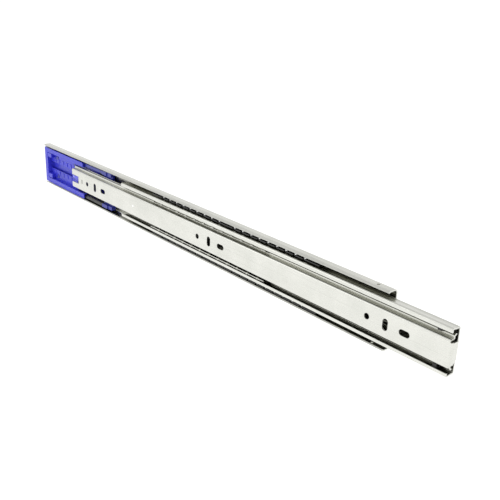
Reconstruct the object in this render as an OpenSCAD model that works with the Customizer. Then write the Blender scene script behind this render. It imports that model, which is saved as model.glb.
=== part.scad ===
// Full extension ball bearing drawer slide with a soft close unit.
//
// X runs along the slide: 0 is the front end of the cabinet member and +X is
// the way the drawer opens. Y is 0 on the face that is screwed to the cabinet
// and goes negative towards the drawer. Z is up, 0 at the middle of the slide.
// The slide is drawn a little open, where the soft close unit takes hold.
//
// Sheet sections are written as [z, depth] pairs, where depth is the distance
// from the cabinet face towards the drawer.

/* [Slide] */
// Length of the cabinet member
slide_length = 500; // [500:50:600]
// Height of the cabinet member
slide_height = 45.5; // [45.5:0.1:47]
// Thickness from the cabinet face to the drawer face
slide_depth = 12.7; // [12.7:0.1:13.2]
// How far the slide is drawn open, which is the travel of the soft close unit
soft_close_travel = 54; // [40:1:54]

/* [Members] */
// Sheet thickness of the cabinet and drawer members
sheet = 1.2; // [1.0:0.05:1.2]
// Sheet thickness of the intermediate member
inner_sheet = 1.1; // [1.0:0.05:1.1]
// How far the intermediate member's front end stands behind the drawer member's
front_setback = 2; // [1:0.5:4]

/* [Bearings] */
// Radius of the outer balls
outer_ball_r = 2.2; // [2.0:0.05:2.2]
// Radius of the inner balls
inner_ball_r = 1.7; // [1.5:0.05:1.7]
// Running clearance between a ball and its race
race_gap = 0.1; // [0.08:0.01:0.12]
// Distance from one outer ball to the next
outer_pitch = 10.2; // [10:0.1:13]
// Distance from one inner ball to the next
inner_pitch = 12.7; // [12:0.1:14]
// Length of each outer ball cage
outer_cage_length = 216; // [160:1:216]
// Length of the inner ball cage
inner_cage_length = 160; // [120:1:160]

/* [Screw holes] */
// Diameter of the round screw holes and width of the slots
hole_d = 4.6; // [4:0.1:5]
// Length of the slots
slot_length = 8.8; // [7:0.1:10]
// Distance from one hole to the next within a group on the drawer member
hole_step = 16; // [14:1:18]
// Distance from one group to the next on the drawer member
group_step = 192; // [160:32:192]
// Distance from the front end to the first cabinet screw
front_screw = 37; // [28:1:37]
// Distance from one cabinet screw to the next
cabinet_screw_step = 128; // [96:32:128]

/* [Soft close unit] */
// Length of the blue housing
housing_length = 110; // [105:1:120]
// Radius of the damper cylinder
cylinder_r = 2.5; // [2:0.1:2.5]
// Radius of the damper rod
rod_r = 1; // [0.8:0.1:1.2]
// Outer radius of the closing spring
spring_r = 1.9; // [1.5:0.1:1.9]
// Angle through which the pawl drops to let the drawer go
pawl_drop = 9; // [8:0.5:9]

/* [Hidden] */

cut = 0.5;               // how far a cutting tool reaches past what it cuts
steel_blank = "gainsboro";

// --- sections ---------------------------------------------------------------

// The outer race: a ball centre, and the flange that wraps it
outer_race_r = outer_ball_r + race_gap;
outer_ball_z = slide_height/2 - sheet - outer_race_r;
outer_ball_depth = 6;
flange_bend_r = outer_race_r + sheet/2;
flange_bend_depth = flange_bend_r + sheet/2;
lip_bend_depth = flange_bend_depth + 3.9;
lip_angle = 50;

// The intermediate flange is hollow round the outer ball, then folds over the
// inner ball at its crown and ends in a flat lip
hollow_r = outer_race_r + inner_sheet/2;
inner_race_r = inner_ball_r + race_gap;
wrap_r = inner_race_r + inner_sheet/2;
corner_r = 1.2;
outer_ball = [outer_ball_z, outer_ball_depth];
web_turn = 200;
inter_corner = outer_ball + (hollow_r + corner_r)*[cos(web_turn), sin(web_turn)];
inter_web_depth = inter_corner[1] - corner_r;
inter_lip_depth = 11.5 - inner_sheet/2;
inter_lip_z = 14.3;
crown_r = 0.95;
crown = [15.9, inter_lip_depth - crown_r];
crown_turn = atan2(crown[1] - outer_ball_depth, crown[0] - outer_ball_z)
    + acos((hollow_r + crown_r)/norm(crown - outer_ball));
// the inner ball touches both flats of the crown
inner_ball = crown - (wrap_r - crown_r)*[(1 + sin(crown_turn))/-cos(crown_turn), 1];

// The drawer flange goes straight back from the face, steps out and ends in a
// hollow round the inner ball
drawer_web_depth = slide_depth - sheet/2;
drawer_side_z = 9.6;
shoulder_r = 0.9;
shoulder = [drawer_side_z - shoulder_r, drawer_web_depth - shoulder_r];
drawer_hollow_r = inner_race_r + sheet/2;
step_angle = 200;
drawer_hollow_end = 235;
step_r = 1;
step = inner_ball + (drawer_hollow_r + step_r)*[cos(step_angle), sin(step_angle)];
nook_r = 0.8;
nook = [drawer_side_z + nook_r, step[1] + step_r + nook_r];

function arc(centre, r, from, to, n = 10) =
    [for (i = [0:n]) let (a = from + (to - from)*i/n) centre + r*[cos(a), sin(a)]];
function unit(v) = v/norm(v);
function heading(path, i) = unit(path[min(i + 1, len(path) - 1)] - path[min(i, len(path) - 2)]);
function side(path, i) =
    let (along = unit(heading(path, max(i - 1, 0)) + heading(path, i))) [-along[1], along[0]];
function thinned(path) = [for (i = [0:len(path) - 1])
    if (i == 0 || norm(path[i] - path[max(i - 1, 0)]) > 0.02) path[i]];
function thicken(path, t) = concat(
    [for (i = [0:len(path) - 1]) path[i] + side(path, i)*t/2],
    [for (i = [len(path) - 1:-1:0]) path[i] - side(path, i)*t/2]);
function strip(path, t) = thicken(thinned(path), t);
function both_sides(half) = concat(
    [for (i = [len(half) - 1:-1:1]) [-half[i][0], half[i][1]]], half);

cabinet_half = concat([[0, sheet/2]],
    arc([outer_ball_z, flange_bend_depth], flange_bend_r, -90, 0),
    arc([outer_ball_z, lip_bend_depth], flange_bend_r, 0, lip_angle, 8));
intermediate_half = concat([[0, inter_web_depth]],
    arc(inter_corner, corner_r, -90, web_turn - 180, 8),
    arc(outer_ball, hollow_r, web_turn, crown_turn, 6),
    arc(crown, crown_r, crown_turn - 180, 90, 8),
    [[inter_lip_z, inter_lip_depth]]);
drawer_half = concat([[0, drawer_web_depth]],
    arc(shoulder, shoulder_r, 90, 0, 8),
    arc(nook, nook_r, 180, 270, 6),
    arc(step, step_r, 90, step_angle - 180, 6),
    arc(inner_ball, drawer_hollow_r, step_angle, drawer_hollow_end, 6));

// The inner cage passes behind the drawer flanges and between each row's races
cage_sheet = 0.6;
cage_web_depth = 4.6;
cage_foot = [14.7, 5.2];
cage_knee = [14.75, 6];
cage_lean = 25;
cage_wall = [-sin(cage_lean), cos(cage_lean)];
cage_lip = [12.4, 11.6];
cage_bend_r = cage_foot[1] - cage_web_depth;
cage_half = concat([[0, cage_web_depth]],
    arc([cage_foot[0] - cage_bend_r, cage_foot[1]], cage_bend_r, -90, 0, 5),
    [cage_knee, inner_ball - 1.9*cage_wall, inner_ball + 2*cage_wall, cage_lip]);

// --- places along the slide --------------------------------------------------

drawer_length = slide_length - 16;
intermediate_length = slide_length - 116;
drawer_front = soft_close_travel;
drawer_rear = drawer_front - drawer_length;
inter_front = drawer_front - front_setback;
inter_rear = inter_front - intermediate_length;
outer_cage_front = -64;
inner_cage_front = -120;
group_front = drawer_front - 52;
locating_x = -12;        // small holes in both cabinet flanges
locating_r = 1.1;
cabinet_screws = [for (i = [0:2]) -front_screw - i*cabinet_screw_step];

housing_rear = -slide_length + 0.5;
housing_front = -slide_length + housing_length;
rail_front = housing_front - 22;
end_wall = 6;
tunnel_rear = housing_rear + end_wall;
floor_top = 2.4;
cover_base = 4.3;
cover_top = 5.3;
roof_base = 8.4;
roof_top = 9.6;
wall_z = [14.85, 15.5];
roof_z = 19.7;
slot_z = 3.9;
track_z = 7.8;
rivet_r = 1.5;

pawl_x = drawer_rear - 4;
pawl_depth = 6.2;
tab_x = drawer_rear + 12.4;
tab_end = 8.2;
notch_z = 4;
notch_x = drawer_rear + 13.6;

ear_rear = drawer_rear + 54;
ear_step = ear_rear + 10;
ear_front = ear_rear + 18;
ear_z = [15.8, 19.6];
ear_top = 8.2;
carriage_base = 2.7;
carriage_top = 3.9;
beam_top = 5.4;

// The cover ends just behind the ears' place when the slide is shut
cover_front = ear_rear - soft_close_travel - 2;
rivet_spots = [for (x = [tunnel_rear + 16, cover_front - 5], z = [-11, 11]) [x, z]];

cylinder_z = -18.4;
cylinder_depth = 5.4;
cylinder_rear = ear_rear - 58;
bore_r = 1.8;
cap_length = 3;

spring_z = 17.6;
spring_depth = 4.5;
anchor_x = tunnel_rear + 3.5;

lever_x = group_front - 311;
lever_depth = 9.2;

// --- helpers -----------------------------------------------------------------

// A section of [z, depth] points pulled along X
module along(from, to, points) {
    translate([from, 0, 0])
        rotate([90, 0, 90])
            linear_extrude(to - from) polygon([for (p = points) [-p[1], p[0]]]);
}

// A block given by its ends along X, its depths and its heights
module block(x, depth, z) {
    translate([x[0], -depth[1], z[0]]) cube([x[1] - x[0], depth[1] - depth[0], z[1] - z[0]]);
}

// A round bar along Y from one depth to another
module pin(x, z, r, from, to) {
    translate([x, -from, z]) rotate([90, 0, 0]) cylinder(r = r, h = to - from, $fn = 48);
}

// A round bar along X
module bar(from, to, z, depth, r) {
    translate([from, -depth, z]) rotate([0, 90, 0]) cylinder(r = r, h = to - from, $fn = 48);
}

// A slot through a web; long_x makes it run along the slide
module slot(x, z, width, length, from, to, long_x = true) {
    reach = (length - width)/2;
    for (s = [-1, 1])
        pin(x + (long_x ? s*reach : 0), z + (long_x ? 0 : s*reach), width/2, from, to);
    if (long_x) block([x - reach, x + reach], [from, to], [z - width/2, z + width/2]);
    else block([x - width/2, x + width/2], [from, to], [z - reach, z + reach]);
}

module both_z() {
    children();
    mirror([0, 0, 1]) children();
}

// --- cabinet member and soft close housing -------------------------------------

module cabinet_member() {
    color(steel_blank) difference() {
        along(-slide_length, 0, strip(both_sides(cabinet_half), sheet));
        for (x = cabinet_screws) {
            pin(x, 0, hole_d/2, -cut, sheet + cut);
            slot(x - hole_step, 0, hole_d, slot_length, -cut, sheet + cut);
        }
        for (p = rivet_spots) pin(p[0], p[1], rivet_r, -cut, sheet + cut);
        // locating holes punched through both flanges near the front
        translate([locating_x, -outer_ball_depth, -slide_height/2 - cut])
            cylinder(r = locating_r, h = slide_height + 2*cut, $fn = 32);
    }
}

module housing_rail() {
    // roof over the tunnel and its inner wall, which hangs clear of the ears
    block([tunnel_rear - 1, rail_front], [roof_base, roof_top], [wall_z[0], roof_z]);
    block([tunnel_rear - 1, cover_front], [cover_top - 1, roof_top], wall_z);
    block([cover_front - 1, rail_front], [beam_top + 0.4, roof_top], wall_z);
    // slim bead along the roof
    block([tunnel_rear - 1, rail_front], [roof_top - 0.1, roof_top + 0.4], [roof_z - 0.9, roof_z]);
}

module damper_housing() {
    color("royalblue") difference() {
        union() {
            block([housing_rear, housing_front], [sheet, floor_top], [-wall_z[1], wall_z[1]]);
            block([housing_rear, cover_front], [floor_top - 0.1, cover_top], [-wall_z[1], wall_z[1]]);
            block([housing_rear, tunnel_rear], [sheet + 1, roof_top], [-roof_z, roof_z]);
            both_z() housing_rail();
            // generic ribs that stiffen the cover
            for (x = [tunnel_rear + 9:9:tunnel_rear + 45])
                both_z() block([x, x + 3.2], [cover_top - 0.1, cover_top + 0.45], [4.9, 9.2]);
        }
        // track for the carriage, and the slot that the pawl runs in
        block([tunnel_rear, housing_front + cut], [floor_top, cover_base], [-track_z, track_z]);
        block([tunnel_rear, housing_front + cut], [cover_base - cut, roof_top + cut], [-slot_z, slot_z]);
        for (p = rivet_spots) pin(p[0], p[1], rivet_r, 0, cover_top + cut);
        bar(housing_rear + 2, tunnel_rear + cut, cylinder_z, cylinder_depth, rod_r);
    }
    // post that carries the spring's anchor
    color("royalblue")
        block([tunnel_rear - 0.1, anchor_x + 2], [sheet, 2.2], [wall_z[1] - 0.1, outer_ball_z]);
}

module housing_rivets() {
    color("mediumblue") for (p = rivet_spots) {
        pin(p[0], p[1], rivet_r, 0, cover_top);
        pin(p[0], p[1], rivet_r + 0.9, cover_top, cover_top + 0.4);
    }
}

module rear_bumpers() {
    color("darkblue") both_z()
        block([tunnel_rear, drawer_rear - soft_close_travel - 0.8], [cover_top, 9.4], [9.6, 14.2]);
}

module spring_anchor_pin() {
    color("silver") {
        pin(anchor_x, spring_z, 0.8, 2.2, 7.4);
        pin(anchor_x, spring_z, 1.3, 7.4, 7.9);
    }
}

module damper_rod() {
    color("silver")
        bar(housing_rear + 2, cylinder_rear + 0.5, cylinder_z, cylinder_depth, rod_r);
}

module damper_piston() {
    color("dimgray")
        bar(cylinder_rear + 0.5, cylinder_rear + 2.5, cylinder_z, cylinder_depth, bore_r - 0.1);
}

// --- carriage -------------------------------------------------------------------

module ear() {
    block([ear_rear, ear_front], [carriage_base, beam_top], [7, ear_z[1]]);
    block([ear_rear, ear_step], [beam_top - 0.1, ear_top], ear_z);
    block([ear_step - 0.1, ear_front], [beam_top - 0.1, ear_top - 0.9], ear_z);
}

module latch_carriage() {
    pocket = [pawl_x + 9, pawl_x + 25];
    color("mediumblue") difference() {
        union() {
            block([pawl_x - 4, ear_front], [carriage_base, carriage_top], [-7.4, 7.4]);
            block([ear_rear, ear_front], [carriage_base, beam_top], [-7.4, 7.4]);
            both_z() ear();
            // cheeks that hold the pawl's pin
            both_z() block([pawl_x - 3.4, pawl_x + 4], [carriage_top - 0.1, 8.2], [2.5, 3.6]);
            // arm that covers the spring
            block([pawl_x + 4, ear_rear + 0.1], [6.6, 7.3], [15.9, 18.9]);
            // guide rib behind the ears
            block([ear_rear - 26, ear_rear + 0.1], [carriage_top - 0.1, cover_top + 0.4], [-2.2, 2.2]);
        }
        block(pocket, [carriage_base - cut, carriage_top + cut], [-3.7, 3.7]);
        translate([pawl_x, -pawl_depth, -5]) cylinder(r = 0.8, h = 10, $fn = 32);
    }
}

// Side outline of the pawl when it holds the drawer, about its pin
pawl_hook = [
    [-2.6, 1.4], [3, 1.6], [9, 0.4], [22.3, -1.2], [22.3, -2.8], [20.8, -4.0],
    [18.6, -4.0], [18.6, -1.6], [15.5, -1.6], [15.5, -4.6], [3.4, -4.6],
    [0.6, -3.4], [-2.6, -2.4]];

module latch_pawl() {
    color("slateblue")
        translate([pawl_x, -pawl_depth, 0]) rotate([0, 0, pawl_drop]) difference() {
            union() {
                translate([0, 0, -1.5]) linear_extrude(3) polygon(pawl_hook);
                intersection() {
                    translate([0, 0, -3.3]) linear_extrude(6.6) polygon(pawl_hook);
                    translate([5.6, -10, -5]) cube([30, 20, 10]);
                }
            }
            translate([0, 0, -5]) cylinder(r = 0.85, h = 10, $fn = 32);
        }
}

module pawl_pin() {
    color("white")
        translate([pawl_x, -pawl_depth, -4.4]) cylinder(r = 0.8, h = 8.8, $fn = 32);
}

module closing_spring() {
    color("dimgray") difference() {
        bar(anchor_x + 1, ear_rear, spring_z, spring_depth, spring_r);
        bar(anchor_x + 1 - cut, ear_rear + cut, spring_z, spring_depth, spring_r - 0.5);
    }
}

module damper_cylinder() {
    color([0.1, 0.1, 0.12]) difference() {
        bar(cylinder_rear, ear_rear, cylinder_z, cylinder_depth, cylinder_r);
        bar(cylinder_rear - cut, ear_rear - 1, cylinder_z, cylinder_depth, bore_r);
    }
}

module damper_cap() {
    color("dimgray") difference() {
        bar(cylinder_rear - cap_length, cylinder_rear, cylinder_z, cylinder_depth, cylinder_r);
        bar(cylinder_rear - cap_length - cut, cylinder_rear + cut, cylinder_z, cylinder_depth,
            rod_r + 0.1);
    }
}

// --- bearings -------------------------------------------------------------------

outer_half_count = floor((outer_cage_length/2 - 7)/outer_pitch);
inner_count = floor((inner_cage_length - 8)/inner_pitch) + 1;
slit_bridge = 2.9;
// the outer cages have no ball in the middle
outer_xs = [for (i = [-outer_half_count:outer_half_count])
    if (i != 0) outer_cage_front - outer_cage_length/2 + i*outer_pitch];
inner_xs = [for (i = [0:inner_count - 1])
    inner_cage_front - inner_cage_length/2 + (i - (inner_count - 1)/2)*inner_pitch];

module outer_cage_upper() {
    rear = outer_cage_front - outer_cage_length;
    color([0.08, 0.08, 0.08]) difference() {
        block([rear, outer_cage_front], [1.7, 9.4], [outer_ball_z - 0.45, outer_ball_z + 0.45]);
        // each pocket opens to the edge through a notch narrower than its ball
        for (x = outer_xs) {
            translate([x, -outer_ball_depth, 0])
                cylinder(r = outer_ball_r + 0.06, h = slide_height, $fn = 48);
            block([x - 1, x + 1], [outer_ball_depth, 10], [outer_ball_z - 1, outer_ball_z + 1]);
        }
    }
}

module outer_cage_lower() { mirror([0, 0, 1]) outer_cage_upper(); }

module outer_balls_upper() {
    color("whitesmoke") for (x = outer_xs)
        translate([x, -outer_ball_depth, outer_ball_z]) sphere(r = outer_ball_r, $fn = 32);
}

module outer_balls_lower() { mirror([0, 0, 1]) outer_balls_upper(); }

module inner_cage() {
    rear = inner_cage_front - inner_cage_length;
    color("lightgray") difference() {
        along(rear, inner_cage_front, strip(both_sides(cage_half), cage_sheet));
        // ball pockets, drilled square to the leaning walls
        both_z() for (x = inner_xs) translate([x, -inner_ball[1], inner_ball[0]])
            rotate([cage_lean, 0, 0])
                cylinder(r = inner_ball_r + 0.06, h = 3, center = true, $fn = 32);
        // windows that lighten the web
        for (i = [0:3]) slot(rear + inner_cage_length*(i + 0.5)/4, 0, 12, 30,
            cage_web_depth - 1, cage_web_depth + 1);
        // slits along each lip, one in front of every ball
        slit_reach = (inner_pitch - slit_bridge)/2;
        both_z() for (x = inner_xs)
            block([x - slit_reach, x + slit_reach], [10.45, 12.5], [12.9, 14.2]);
    }
}

module inner_balls_upper() {
    color("whitesmoke") for (x = inner_xs)
        translate([x, -inner_ball[1], inner_ball[0]]) sphere(r = inner_ball_r, $fn = 32);
}

module inner_balls_lower() { mirror([0, 0, 1]) inner_balls_upper(); }

// --- intermediate member ----------------------------------------------------------

module intermediate_member() {
    color(steel_blank) union() {
        difference() {
            along(inter_rear, inter_front, strip(both_sides(intermediate_half), inner_sheet));
            // windows that give a screwdriver a way through to the cabinet screws
            for (x = [inter_rear + 36:96:inter_front - 30])
                slot(x, 0, 11, 24, inter_web_depth - 1, inter_web_depth + 1);
        }
        // stop tabs bent out of the web
        both_z() block([inter_front - 5, inter_front - 5 + inner_sheet], [inter_web_depth, 7], [5, 9]);
    }
}

module cage_buffers() {
    color([0.15, 0.15, 0.15]) both_z() difference() {
        union() {
            block([inter_front - 11.5, inter_front - 6],
                [inter_web_depth + inner_sheet/2, 5], [10.6, 15.2]);
            // post beside the race, with a nose that shows behind the lip
            block([inter_front - 11.5, inter_front - 8.5], [4.9, 10.2], [13.8, 15.2]);
            block([inter_front - 11.5, inter_front - 8.5], [9.4, 10.2], [12, 13.9]);
        }
        pin(inter_front - 7.5, 12.6, 0.9, inter_web_depth, 6);
    }
}

// --- drawer member ----------------------------------------------------------------

// The web's front end, bent in towards the cabinet
fold_r = 1.8;
tab_depth = 6;
tab_reach = 8.2;
fold_r_middle = fold_r - sheet/2;
fold = concat([[drawer_front - fold_r - 2, drawer_web_depth]],
    arc([drawer_front - fold_r, slide_depth - fold_r], fold_r_middle, 90, 0, 8),
    [[drawer_front - sheet/2, tab_depth]]);

module front_tab() {
    translate([0, 0, -tab_reach]) linear_extrude(2*tab_reach)
        polygon([for (p = strip(fold, sheet)) [p[0], -p[1]]]);
}

module drawer_member() {
    color("gainsboro") difference() {
        union() {
            difference() {
                along(drawer_rear, drawer_front - fold_r, strip(both_sides(drawer_half), sheet));
                block([drawer_rear - cut, notch_x], [11, 13.5], [-notch_z, notch_z]);
            }
            // striker tab, bent in at the end of the rear notch
            block([tab_x, notch_x + 0.4], [tab_end, drawer_web_depth], [-3.7, 3.7]);
            front_tab();
        }
        for (i = [0:2]) {
            x = group_front - i*group_step;
            pin(x - hole_step, 0, hole_d/2, drawer_web_depth - 1, slide_depth + cut);
            slot(x, 0, hole_d, slot_length, drawer_web_depth - 1, slide_depth + cut, false);
            slot(x + hole_step, 0, hole_d, slot_length, drawer_web_depth - 1, slide_depth + cut);
        }
        slot(drawer_rear + 21, 0, 1.2, 5, drawer_web_depth - 1, slide_depth + cut, false);
        pin(lever_x, 0, 1.25, drawer_web_depth - 1, slide_depth + cut);
        // lower corner of the front tab is cut off
        translate([drawer_front, -tab_depth, -tab_reach]) rotate([45, 0, 0])
            cube([6, 4, 4], center = true);
    }
}

module release_lever() {
    color([0.13, 0.13, 0.13]) difference() {
        union() {
            pin(lever_x, 0, 4.4, lever_depth - 1.2, lever_depth + 1.2);
            block([lever_x, lever_x + 30], [lever_depth - 1, lever_depth + 1], [-2.4, 2.4]);
            block([lever_x + 26, lever_x + 30], [lever_depth - 1, lever_depth + 1], [-4.4, 2.4]);
            block([lever_x - 16, lever_x], [lever_depth - 1, lever_depth + 1], [-2, 2]);
            block([lever_x - 16, lever_x - 12], [lever_depth - 2.4, lever_depth + 1], [-3.4, 3.4]);
        }
        pin(lever_x, 0, 1.3, lever_depth - 3, lever_depth + 3);
    }
}

module lever_washer() {
    inner_face = slide_depth - sheet;
    color("silver") difference() {
        pin(lever_x, 0, 2.6, lever_depth + 1.3, inner_face);
        pin(lever_x, 0, 1.25, lever_depth, inner_face + 1);
    }
}

module lever_rivet() {
    color("silver") {
        pin(lever_x, 0, 1.25, lever_depth - 1.5, slide_depth);
        pin(lever_x, 0, 2.4, lever_depth - 2.2, lever_depth - 1.5);
    }
}

cabinet_member();
damper_housing();
housing_rivets();
rear_bumpers();
spring_anchor_pin();
damper_rod();
damper_piston();
latch_carriage();
latch_pawl();
pawl_pin();
closing_spring();
damper_cylinder();
damper_cap();
outer_cage_upper();
outer_cage_lower();
outer_balls_upper();
outer_balls_lower();
intermediate_member();
cage_buffers();
inner_cage();
inner_balls_upper();
inner_balls_lower();
drawer_member();
release_lever();
lever_rivet();
lever_washer();
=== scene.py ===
"""Looks of the cabinet drawer slide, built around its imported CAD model.

Everything is in metres in the frame of the CAD model: +X is the way the drawer opens, the cabinet
face is at Y = 0 and the drawer is on the negative side, +Z is up.
"""

import math

import bmesh
import bpy
from mathutils import Matrix, Vector


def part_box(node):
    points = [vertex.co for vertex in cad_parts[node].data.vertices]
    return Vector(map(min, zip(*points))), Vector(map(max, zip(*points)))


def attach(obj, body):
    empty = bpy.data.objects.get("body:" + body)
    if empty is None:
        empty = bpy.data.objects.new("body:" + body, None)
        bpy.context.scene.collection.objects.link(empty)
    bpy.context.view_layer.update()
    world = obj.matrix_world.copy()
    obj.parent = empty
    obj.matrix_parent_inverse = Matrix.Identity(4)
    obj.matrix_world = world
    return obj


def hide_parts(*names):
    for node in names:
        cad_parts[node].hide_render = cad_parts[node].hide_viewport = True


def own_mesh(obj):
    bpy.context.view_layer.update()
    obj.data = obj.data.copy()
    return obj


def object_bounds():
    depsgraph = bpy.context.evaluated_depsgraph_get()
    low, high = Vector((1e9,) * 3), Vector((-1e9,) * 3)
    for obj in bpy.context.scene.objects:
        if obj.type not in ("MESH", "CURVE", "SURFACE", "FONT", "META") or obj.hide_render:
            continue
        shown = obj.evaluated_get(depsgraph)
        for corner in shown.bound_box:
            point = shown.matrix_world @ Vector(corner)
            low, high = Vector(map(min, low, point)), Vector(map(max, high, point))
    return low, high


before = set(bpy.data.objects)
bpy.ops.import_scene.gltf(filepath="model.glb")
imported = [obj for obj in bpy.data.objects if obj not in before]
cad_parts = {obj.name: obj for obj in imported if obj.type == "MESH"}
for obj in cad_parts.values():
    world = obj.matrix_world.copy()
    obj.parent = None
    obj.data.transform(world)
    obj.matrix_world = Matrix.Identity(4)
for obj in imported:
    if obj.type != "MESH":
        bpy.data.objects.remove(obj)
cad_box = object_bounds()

MM = 0.001
WHITE = (1.0, 1.0, 1.0)

# Stretches of the texture coordinates: the same all ways, or long along the slide.
EVEN = (1.0, 1.0, 1.0)
ROLLED = (0.03, 1.0, 1.0)
RUBBED = (0.004, 1.0, 1.0)
FLOWED = (0.12, 1.0, 1.0)

# The range that most values of a noise texture lie in.
MID_TONES = (0.3, 0.7)

# How far the marks on a finish take it below and above its own roughness.
SMOOTHER = 0.05
ROUGHER = 0.07

# Sockets of a Mix node that mixes colours. It has several of the same name.
MIX_FACTOR = 0
MIX_FIRST = 6
MIX_SECOND = 7
MIX_RESULT = 2

# --- node helpers ---------------------------------------------------------------


def new_material(name):
    """An empty material with its node tree and its Principled shader."""
    material = bpy.data.materials.new(name)
    material.use_nodes = True
    tree = material.node_tree
    shader = tree.nodes["Principled BSDF"]
    return material, tree, shader


def add(tree, kind, **values):
    """A node of that kind, with its properties or its input sockets set by name."""
    node = tree.nodes.new(kind)
    for name, value in values.items():
        if hasattr(node, name):
            setattr(node, name, value)
        else:
            node.inputs[name.replace("_", " ").title()].default_value = value
    return node


def stretched(tree, scale):
    """Object coordinates multiplied by scale, so that a texture can run along the slide."""
    coordinates = add(tree, "ShaderNodeTexCoord")
    mapping = add(tree, "ShaderNodeMapping")
    mapping.inputs["Scale"].default_value = scale
    tree.links.new(coordinates.outputs["Object"], mapping.inputs["Vector"])
    return mapping.outputs["Vector"]


def noise(tree, vector, scale, detail=3.0, roughness=0.55):
    """The grey value of a noise texture."""
    node = add(tree, "ShaderNodeTexNoise", scale=scale, detail=detail, roughness=roughness)
    tree.links.new(vector, node.inputs["Vector"])
    return node.outputs["Fac"]


def between(tree, value, low, high, span=MID_TONES):
    """value taken from span to the range low to high."""
    node = add(tree, "ShaderNodeMapRange")
    node.inputs["From Min"].default_value = span[0]
    node.inputs["From Max"].default_value = span[1]
    node.inputs["To Min"].default_value = low
    node.inputs["To Max"].default_value = high
    tree.links.new(value, node.inputs["Value"])
    return node.outputs["Result"]


def tints(tree, value, stops):
    """A colour ramp over value; stops are (place, colour) pairs."""
    node = add(tree, "ShaderNodeValToRGB")
    ramp = node.color_ramp
    while len(ramp.elements) < len(stops):
        ramp.elements.new(0.5)
    for element, (place, colour) in zip(ramp.elements, stops):
        element.position = place
        element.color = (*colour, 1.0)
    tree.links.new(value, node.inputs["Fac"])
    return node.outputs["Color"]


def clouded(tree, value, dark, light, span=MID_TONES):
    """A colour that goes from dark to light as value goes through span."""
    return tints(tree, value, [(span[0], dark), (span[1], light)])


def mixed(tree, factor, first, second, blend="MIX"):
    """Two colours, plain or varying, mixed by a factor that is plain or varies."""
    node = add(tree, "ShaderNodeMix", data_type="RGBA", blend_type=blend)
    if isinstance(factor, float):
        node.inputs[MIX_FACTOR].default_value = factor
    else:
        tree.links.new(factor, node.inputs[MIX_FACTOR])
    for place, colour in ((MIX_FIRST, first), (MIX_SECOND, second)):
        if isinstance(colour, tuple):
            node.inputs[place].default_value = (*colour, 1.0)
        else:
            tree.links.new(colour, node.inputs[place])
    return node.outputs[MIX_RESULT]


def scaled(colour, factor):
    """A lighter or darker tone of the colour, no lighter than white."""
    return tuple(min(1.0, factor * channel) for channel in colour)


def painted_hollow_shade(tree, base, reach, shade_tint):
    """The base colour with painted shade: darker where other surfaces within reach close it in.
    """
    openness = add(tree, "ShaderNodeAmbientOcclusion", samples=8)
    openness.inputs["Distance"].default_value = reach
    tint = tints(tree, openness.outputs["AO"], [(0.15, shade_tint), (0.80, WHITE)])
    return mixed(tree, 1.0, base, tint, blend="MULTIPLY")


def roughened(tree, shader, marks, low, high):
    """Roughness that follows the marks, from low to high."""
    tree.links.new(between(tree, marks, low, high), shader.inputs["Roughness"])


def bumps(tree, shader, layers, edge_radius):
    """Bump layers of (height, strength, distance) over softened edges."""
    bevel = add(tree, "ShaderNodeBevel", samples=4)
    bevel.inputs["Radius"].default_value = edge_radius
    normal = bevel.outputs["Normal"]
    for height, strength, distance in layers:
        bump = add(tree, "ShaderNodeBump")
        bump.inputs["Strength"].default_value = strength
        bump.inputs["Distance"].default_value = distance
        tree.links.new(height, bump.inputs["Height"])
        tree.links.new(normal, bump.inputs["Normal"])
        normal = bump.outputs["Normal"]
    tree.links.new(normal, shader.inputs["Normal"])


# --- materials --------------------------------------------------------------------


def zinc_steel(name, light, dark, roughness):
    """Cold rolled sheet with bright zinc: rolling marks along it, faint clouds, rubbed marks."""
    material, tree, shader = new_material(name)
    plain = stretched(tree, EVEN)
    long_marks = noise(tree, stretched(tree, ROLLED), scale=2600.0, detail=4.0)
    clouds = noise(tree, plain, scale=55.0, detail=5.0)
    spangle = noise(tree, plain, scale=900.0, detail=2.0)
    rubbed = noise(tree, stretched(tree, RUBBED), scale=1100.0, detail=1.0)

    base = clouded(tree, clouds, dark, light, span=(0.32, 0.68))
    spangle_share = between(tree, spangle, 0.0, 0.35)
    shaded = mixed(tree, spangle_share, base, scaled(light, 0.93))
    rubbed_share = between(tree, rubbed, 0.0, 0.5, span=(0.62, 0.74))
    marked = mixed(tree, rubbed_share, shaded, scaled(dark, 0.8))
    # Painted shade: an olive-grey darkening of the zinc in its hollows and in the gaps between
    # the members.
    hollow_shaded = painted_hollow_shade(tree, marked, reach=9 * MM, shade_tint=(0.28, 0.28, 0.22))
    tree.links.new(hollow_shaded, shader.inputs["Base Color"])

    roughened(tree, shader, long_marks, roughness - SMOOTHER, roughness + ROUGHER)
    shader.inputs["Metallic"].default_value = 1.0
    shader.inputs["Anisotropic"].default_value = 0.25
    layers = [(long_marks, 0.10, 0.02 * MM), (spangle, 0.05, 0.01 * MM)]
    bumps(tree, shader, layers, edge_radius=0.18 * MM)
    return material


def polished_steel(name):
    """Hardened balls, pins and rivets: near mirror, with faint lapping marks."""
    material, tree, shader = new_material(name)
    plain = stretched(tree, EVEN)
    haze = noise(tree, plain, scale=1500.0, detail=4.0)
    clouds = noise(tree, plain, scale=320.0)
    base = clouded(tree, clouds, dark=(0.78, 0.78, 0.76), light=(0.90, 0.90, 0.88))
    tree.links.new(base, shader.inputs["Base Color"])
    roughened(tree, shader, haze, low=0.09, high=0.18)
    shader.inputs["Metallic"].default_value = 1.0
    bumps(tree, shader, [(haze, 0.04, 0.01 * MM)], edge_radius=0.1 * MM)
    return material


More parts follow.
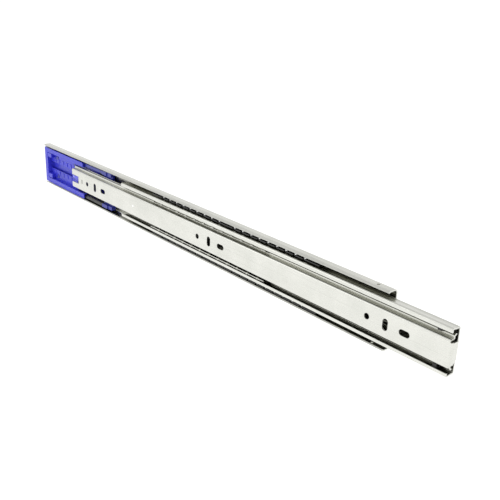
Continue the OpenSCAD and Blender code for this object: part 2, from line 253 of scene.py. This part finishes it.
def moulded_plastic(name, light, dark, roughness, grain, coat=0.0, body_light=0.0):
    """Moulded plastic: slow changes of tone, flow marks along the slide and a fine grain."""
    material, tree, shader = new_material(name)
    plain = stretched(tree, EVEN)
    clouds = noise(tree, plain, scale=60.0, detail=4.0)
    flow = noise(tree, stretched(tree, FLOWED), scale=500.0, detail=2.0)
    fine = noise(tree, plain, scale=5200.0, detail=2.0)

    base = clouded(tree, clouds, dark, light)
    toned = mixed(tree, between(tree, flow, 0.0, 0.22), base, scaled(light, 1.35))
    tree.links.new(toned, shader.inputs["Base Color"])
    roughened(tree, shader, flow, roughness - SMOOTHER, roughness + ROUGHER)

    shader.inputs["IOR"].default_value = 1.49
    shader.inputs["Coat Weight"].default_value = coat
    shader.inputs["Coat Roughness"].default_value = 0.22
    shader.inputs["Subsurface Weight"].default_value = body_light
    shader.inputs["Subsurface Radius"].default_value = (0.3 * MM, 0.3 * MM, 1.2 * MM)
    shader.inputs["Subsurface Scale"].default_value = 1.0
    layers = [(flow, 0.05, 0.04 * MM), (fine, grain, 0.02 * MM)]
    bumps(tree, shader, layers, edge_radius=0.22 * MM)
    return material


def spring_wire(name):
    """Drawn spring wire with a slightly mottled surface and a coat of oil."""
    material, tree, shader = new_material(name)
    plain = stretched(tree, EVEN)
    mottle = noise(tree, plain, scale=700.0, detail=4.0)
    fine = noise(tree, plain, scale=6000.0)
    base = clouded(tree, mottle, dark=(0.20, 0.20, 0.20), light=(0.42, 0.41, 0.39))
    tree.links.new(base, shader.inputs["Base Color"])
    roughened(tree, shader, mottle, low=0.24, high=0.42)
    shader.inputs["Metallic"].default_value = 1.0
    bumps(tree, shader, [(fine, 0.08, 0.01 * MM)], edge_radius=0.05 * MM)
    return material


STEEL = zinc_steel(
    "sheet_zinc", light=(0.69, 0.69, 0.645), dark=(0.62, 0.625, 0.58), roughness=0.27
)
CAGE_STEEL = zinc_steel(
    "cage_zinc", light=(0.74, 0.74, 0.69), dark=(0.62, 0.62, 0.57), roughness=0.30
)
BRIGHT = polished_steel("bearing_steel")
BLUE = moulded_plastic(
    "blue_housing", light=(0.034, 0.038, 0.58), dark=(0.022, 0.026, 0.46),
    roughness=0.36, grain=0.20, coat=0.10, body_light=0.10,
)
# Painted shade: a darker copy of the housing blue for the carriage and its rivets, which sit in
# shadow under the lip.
SHADED_BLUE = moulded_plastic(
    "blue_carriage_painted_shade", light=(0.020, 0.028, 0.32), dark=(0.011, 0.018, 0.23),
    roughness=0.34, grain=0.18, coat=0.12, body_light=0.08,
)
PALE_BLUE = moulded_plastic(
    "blue_catch", light=(0.100, 0.105, 0.78), dark=(0.075, 0.080, 0.66),
    roughness=0.30, grain=0.18, coat=0.40, body_light=0.15,
)
BLACK = moulded_plastic(
    "black_cage", light=(0.016, 0.016, 0.015), dark=(0.010, 0.010, 0.010),
    roughness=0.42, grain=0.35,
)
GREY_BLACK = moulded_plastic(
    "black_damper", light=(0.022, 0.022, 0.021), dark=(0.012, 0.012, 0.012),
    roughness=0.26, grain=0.16, coat=0.3,
)
WIRE = spring_wire("spring_wire")

FINISHES = {
    STEEL: ["cabinet_member", "intermediate_member", "drawer_member"],
    CAGE_STEEL: ["inner_cage"],
    BRIGHT: [
        "spring_anchor_pin", "damper_rod", "pawl_pin", "lever_rivet", "lever_washer",
        "outer_balls_upper", "outer_balls_lower", "inner_balls_upper", "inner_balls_lower",
    ],
    BLUE: ["damper_housing", "rear_bumpers"],
    SHADED_BLUE: ["latch_carriage", "housing_rivets"],
    PALE_BLUE: ["latch_pawl"],
    BLACK: ["outer_cage_upper", "outer_cage_lower", "cage_buffers", "release_lever"],
    GREY_BLACK: ["damper_cylinder", "damper_cap", "damper_piston"],
}


def dress(node, material):
    """Give a CAD node its finish, in place of the plain colour it came with."""
    node.data.materials.clear()
    node.data.materials.append(material)


for finish, names in FINISHES.items():
    for name in names:
        dress(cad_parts[name], finish)

# --- closing spring ------------------------------------------------------------------

WIRE_RADIUS = 0.28 * MM
COIL_TURNS = 62
STEPS_PER_TURN = 16
WIRE_SIDES = 10


def tube(name, path, radius):
    """A round wire that follows a path of points, closed at both ends."""
    mesh = bpy.data.meshes.new(name)
    bm = bmesh.new()
    rings = []
    across = Vector((0, 0, 1))
    for i, point in enumerate(path):
        heading = (path[min(i + 1, len(path) - 1)] - path[max(i - 1, 0)]).normalized()
        across = (across - across.dot(heading) * heading).normalized()
        other = heading.cross(across)
        ring = []
        for k in range(WIRE_SIDES):
            turn = 2 * math.pi * k / WIRE_SIDES
            offset = math.cos(turn) * across + math.sin(turn) * other
            ring.append(bm.verts.new(point + radius * offset))
        rings.append(ring)
    for a, b in zip(rings, rings[1:]):
        for k in range(WIRE_SIDES):
            after = (k + 1) % WIRE_SIDES
            bm.faces.new((a[k], a[after], b[after], b[k]))
    bm.faces.new(reversed(rings[0]))
    bm.faces.new(rings[-1])
    bm.normal_update()
    for face in bm.faces:
        face.smooth = True
    bm.to_mesh(mesh)
    bm.free()
    piece = bpy.data.objects.new(name, mesh)
    bpy.context.scene.collection.objects.link(piece)
    return piece


def coil_path(start, end, centre, radius):
    """A helix along X from start to end, about the line at centre (Y, Z)."""
    points = []
    count = COIL_TURNS * STEPS_PER_TURN
    for i in range(count + 1):
        turn = 2 * math.pi * i / STEPS_PER_TURN
        x = start + (end - start) * i / count
        y = centre[0] + radius * math.cos(turn)
        z = centre[1] + radius * math.sin(turn)
        points.append(Vector((x, y, z)))
    return points


def closing_spring():
    """The wound wire that stands for the CAD spring."""
    low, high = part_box("closing_spring")
    centre = ((low.y + high.y) / 2, (low.z + high.z) / 2)
    radius = (high.z - low.z) / 2 - WIRE_RADIUS
    path = coil_path(low.x + WIRE_RADIUS, high.x - WIRE_RADIUS, centre, radius)
    piece = tube("spring_coils", path, WIRE_RADIUS)
    piece.data.materials.append(WIRE)
    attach(piece, "cabinet")
    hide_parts("closing_spring")
    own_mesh(piece)


closing_spring()

# --- stage, lights and camera ----------------------------------------------------------

FLOOR_DROP = 0.35
FLOOR_HALF_SIDE = 6.0
FLOOR_GLOW = 0.36
SKY_STRENGTH = 1.06


def plain_floor():
    """A pale sheet well below the slide, so large and bright that it meets the background."""
    height = cad_box[0][2] - FLOOR_DROP
    half = FLOOR_HALF_SIDE
    mesh = bpy.data.meshes.new("floor")
    corners = [
        (-half, -half, height),
        (half, -half, height),
        (half, half, height),
        (-half, half, height),
    ]
    mesh.from_pydata(corners, [], [(0, 1, 2, 3)])
    floor = bpy.data.objects.new("floor", mesh)
    bpy.context.scene.collection.objects.link(floor)
    material, tree, shader = new_material("pale_floor")
    tone = noise(tree, stretched(tree, EVEN), scale=3.0)
    base = clouded(tree, tone, dark=(0.90, 0.90, 0.90), light=(0.93, 0.93, 0.93))
    tree.links.new(base, shader.inputs["Base Color"])
    shader.inputs["Roughness"].default_value = 0.9
    shader.inputs["Emission Color"].default_value = (*WHITE, 1.0)
    shader.inputs["Emission Strength"].default_value = FLOOR_GLOW
    floor.data.materials.append(material)


def softbox(name, place, target, size, power):
    """A soft rectangular light at place, turned to target. Its power is in watts."""
    light = bpy.data.lights.new(name, "AREA")
    light.shape = "RECTANGLE"
    light.size, light.size_y = size
    light.energy = power
    lamp = bpy.data.objects.new(name, light)
    lamp.location = place
    heading = Vector(target) - Vector(place)
    lamp.rotation_euler = heading.to_track_quat("-Z", "Y").to_euler()
    bpy.context.scene.collection.objects.link(lamp)


def pale_sky():
    """A world that is white at the horizon and dimmer overhead."""
    world = bpy.data.worlds.new("studio")
    world.use_nodes = True
    tree = world.node_tree
    background = tree.nodes["Background"]
    coordinates = add(tree, "ShaderNodeTexCoord")
    parts = add(tree, "ShaderNodeSeparateXYZ")
    tree.links.new(coordinates.outputs["Generated"], parts.inputs["Vector"])
    stops = [(0.0, WHITE), (0.35, (0.95, 0.95, 0.94)), (0.8, (0.72, 0.72, 0.72))]
    sky = tints(tree, parts.outputs["Z"], stops)
    tree.links.new(sky, background.inputs["Color"])
    background.inputs["Strength"].default_value = SKY_STRENGTH
    bpy.context.scene.world = world


def studio_lights():
    """One large light above the front of the slide, and a weaker one by its rear."""
    middle = Vector(((cad_box[0][0] + cad_box[1][0]) / 2, 0, 0))
    above = middle + Vector((0.35, -0.1, 1.2))
    front_part = middle + Vector((0.2, 0, 0))
    left = middle + Vector((-1.0, -1.2, 0.7))
    softbox("overhead", above, front_part, size=(0.9, 0.8), power=3.5)
    softbox("front_left", left, middle, size=(0.9, 0.9), power=2.5)


def photo_camera():
    """The photograph's view: from the drawer side, turned 48 degrees to the front, 21 up."""
    azimuth = math.radians(48.23)
    elevation = math.radians(21.18)
    roll = math.radians(2.46)
    distance = 0.596
    target = Vector((-0.15054, 0.0, 0.00202))
    focal_px = 722.7
    picture_px = 500
    away = Vector((
        math.sin(azimuth) * math.cos(elevation),
        -math.cos(azimuth) * math.cos(elevation),
        math.sin(elevation),
    ))
    data = bpy.data.cameras.new("camera")
    data.sensor_width = 36.0
    data.lens = data.sensor_width * focal_px / picture_px
    data.clip_start = 0.01
    camera = bpy.data.objects.new("camera", data)
    level = (-away).to_track_quat("-Z", "Y").to_matrix()
    camera.rotation_euler = (level @ Matrix.Rotation(roll, 3, "Z")).to_euler()
    camera.location = target + distance * away
    bpy.context.scene.collection.objects.link(camera)
    bpy.context.scene.camera = camera


plain_floor()
pale_sky()
studio_lights()
photo_camera()
bpy.context.scene.view_settings.view_transform = "Standard"
